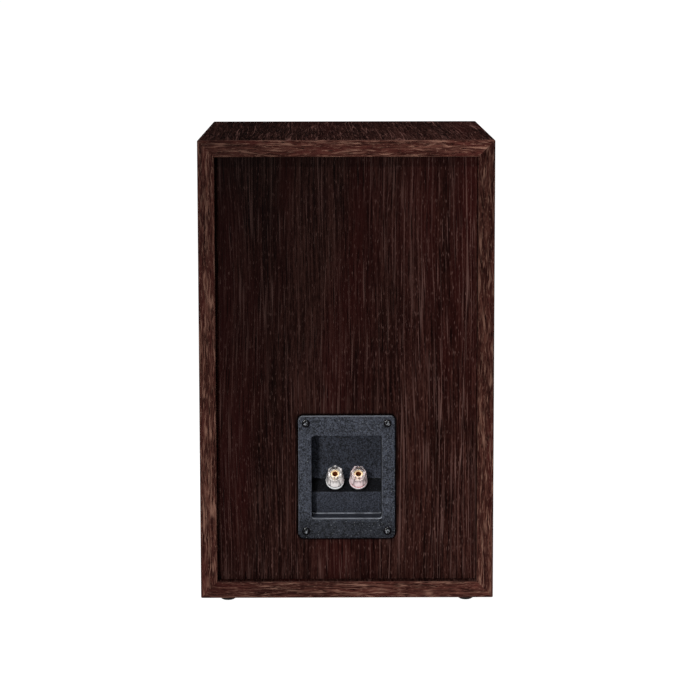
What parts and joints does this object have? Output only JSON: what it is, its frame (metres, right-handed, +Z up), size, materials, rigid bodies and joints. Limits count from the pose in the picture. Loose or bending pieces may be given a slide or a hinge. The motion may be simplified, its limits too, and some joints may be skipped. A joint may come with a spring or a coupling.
{
  "type": "bookshelf speaker",
  "caption": "Two-way bookshelf loudspeaker: mitred veneer cabinet, recessed rear panel with a moulded terminal cup, screw-down binding posts, front drivers, port and pull-off grille.",
  "frame": {"origin": "on the standing surface under the centre of the cabinet", "axes": "+Z up, -Y towards the listener (grille and drivers), +Y towards the rear (terminal cup), +X to the listener's right"},
  "size_m": [0.212, 0.268, 0.337],
  "materials": {
    "walnut_veneer_wrap": "dark walnut-look veneer, satin",
    "walnut_veneer_panel": "dark walnut-look veneer, satin",
    "baffle_lacquer": "black painted fibreboard, satin",
    "softwood": "raw softwood",
    "wadding": "polyester wadding",
    "foot_rubber": "moulded rubber, matte",
    "cup_plastic": "textured dark moulding",
    "foam_seal": "foam seal",
    "black_screw": "black zinc",
    "gold_plating": "gold-plated brass",
    "collar_black": "black moulded insulator",
    "nickel_plating": "nickel-plated brass",
    "clear_cap": "clear moulded plastic",
    "marker_red": "red moulded ring",
    "marker_black": "black moulded ring",
    "plated_steel": "zinc plated",
    "tinned_brass": "tinned",
    "basket_paint": "black powder coat",
    "trim_black": "satin black moulding",
    "surround_rubber": "butyl rubber",
    "cone_paper": "pressed fibre, dark",
    "dust_cap": "pressed fibre, dark",
    "spider_cloth": "varnished cloth",
    "coil_copper": "enamelled copper on former",
    "motor_steel": "zinc-plated steel",
    "ferrite": "ceramic ferrite",
    "dome_silk": "coated silk",
    "port_plastic": "black moulding",
    "circuit_board": "green fibreglass laminate",
    "nylon": "natural nylon",
    "film_yellow": "film capacitor",
    "resistor_ceramic": "cement resistor",
    "lead_jacket": "PVC jacket",
    "grille_frame_plastic": "black moulded frame",
    "grille_cloth": "black knitted acoustic cloth",
    "socket_rubber": "rubber cup"
  },
  "bodies": {
    "cabinet": {"top_panel": "walnut_veneer_wrap", "bottom_panel": "walnut_veneer_wrap", "side_panel_left": "walnut_veneer_wrap", "side_panel_right": "walnut_veneer_wrap", "back_panel": "walnut_veneer_panel", "front_baffle": "baffle_lacquer", "glue_cleats": "softwood", "damping_wadding": "wadding", "rubber_feet": "foot_rubber", "terminal_cup": "cup_plastic", "terminal_gasket": "foam_seal", "terminal_screws": "black_screw", "red_post_stud": "gold_plating", "black_post_stud": "gold_plating", "post_collars": "collar_black", "post_nuts": "plated_steel", "solder_lugs": "tinned_brass", "woofer_basket": "basket_paint", "woofer_trim_ring": "trim_black", "woofer_surround": "surround_rubber", "woofer_spider": "spider_cloth", "woofer_top_plate": "motor_steel", "woofer_magnet": "ferrite", "woofer_yoke": "motor_steel", "tweeter_faceplate": "trim_black", "tweeter_surround": "dome_silk", "tweeter_top_plate": "motor_steel", "tweeter_magnet": "ferrite", "tweeter_yoke": "motor_steel", "driver_gaskets": "foam_seal", "driver_tabs": "tinned_brass", "driver_screws": "black_screw", "port_tube": "port_plastic", "crossover_board": "circuit_board", "crossover_standoffs": "nylon", "crossover_screws": "plated_steel", "crossover_inductors": "coil_copper", "crossover_capacitors": "film_yellow", "crossover_resistor": "resistor_ceramic", "input_leads": "lead_jacket", "woofer_leads": "lead_jacket", "tweeter_leads": "lead_jacket", "grille_sockets": "socket_rubber"},
    "grille": {"grille_frame": "grille_frame_plastic", "grille_cloth": "grille_cloth", "grille_pegs": "grille_frame_plastic"},
    "woofer_diaphragm": {"woofer_cone": "cone_paper", "woofer_dust_cap": "dust_cap", "woofer_voice_coil": "coil_copper"},
    "tweeter_diaphragm": {"tweeter_dome": "dome_silk", "tweeter_voice_coil": "coil_copper"},
    "red_clamp": {"red_clamp_washer": "gold_plating"},
    "red_cap": {"red_post_cap": "clear_cap", "red_cap_insert": "nickel_plating", "red_marker_ring": "marker_red"},
    "black_clamp": {"black_clamp_washer": "gold_plating"},
    "black_cap": {"black_post_cap": "clear_cap", "black_cap_insert": "nickel_plating", "black_marker_ring": "marker_black"}
  },
  "joints": [
    {"name": "grille_pull", "type": "slide", "parent": "cabinet", "child": "grille", "axis": [0, -1, 0], "range_m": [0, 0.05]},
    {"name": "woofer_stroke", "type": "slide", "parent": "cabinet", "child": "woofer_diaphragm", "axis": [0, -1, 0], "range_m": [-0.004, 0.004], "stiffness_N_per_m": 1100, "deforming": ["woofer_surround", "woofer_spider"]},
    {"name": "tweeter_stroke", "type": "slide", "parent": "cabinet", "child": "tweeter_diaphragm", "axis": [0, -1, 0], "range_m": [-0.0003, 0.0003], "stiffness_N_per_m": 2000, "deforming": ["tweeter_surround"]},
    {"name": "red_clamp_travel", "type": "slide", "parent": "cabinet", "child": "red_clamp", "axis": [0, 0.7682, 0.6402], "range_m": [0, 0.00375]},
    {"name": "red_cap_turn", "type": "hinge", "parent": "red_clamp", "child": "red_cap", "pos_m": [-0.0085, 0.12043, 0.0907], "axis": [0, 0.7682, 0.6402], "range_deg": [0, 1800.5]},
    {"name": "black_clamp_travel", "type": "slide", "parent": "cabinet", "child": "black_clamp", "axis": [0, 0.7682, 0.6402], "range_m": [0, 0.00375]},
    {"name": "black_cap_turn", "type": "hinge", "parent": "black_clamp", "child": "black_cap", "pos_m": [0.0085, 0.12043, 0.0907], "axis": [0, 0.7682, 0.6402], "range_deg": [0, 1800.5]}
  ],
  "couplings": [
    {"joint": "red_cap_turn", "follows": "red_clamp_travel", "rad_per_m": 8377.6},
    {"joint": "black_cap_turn", "follows": "black_clamp_travel", "rad_per_m": 8377.6}
  ]
}
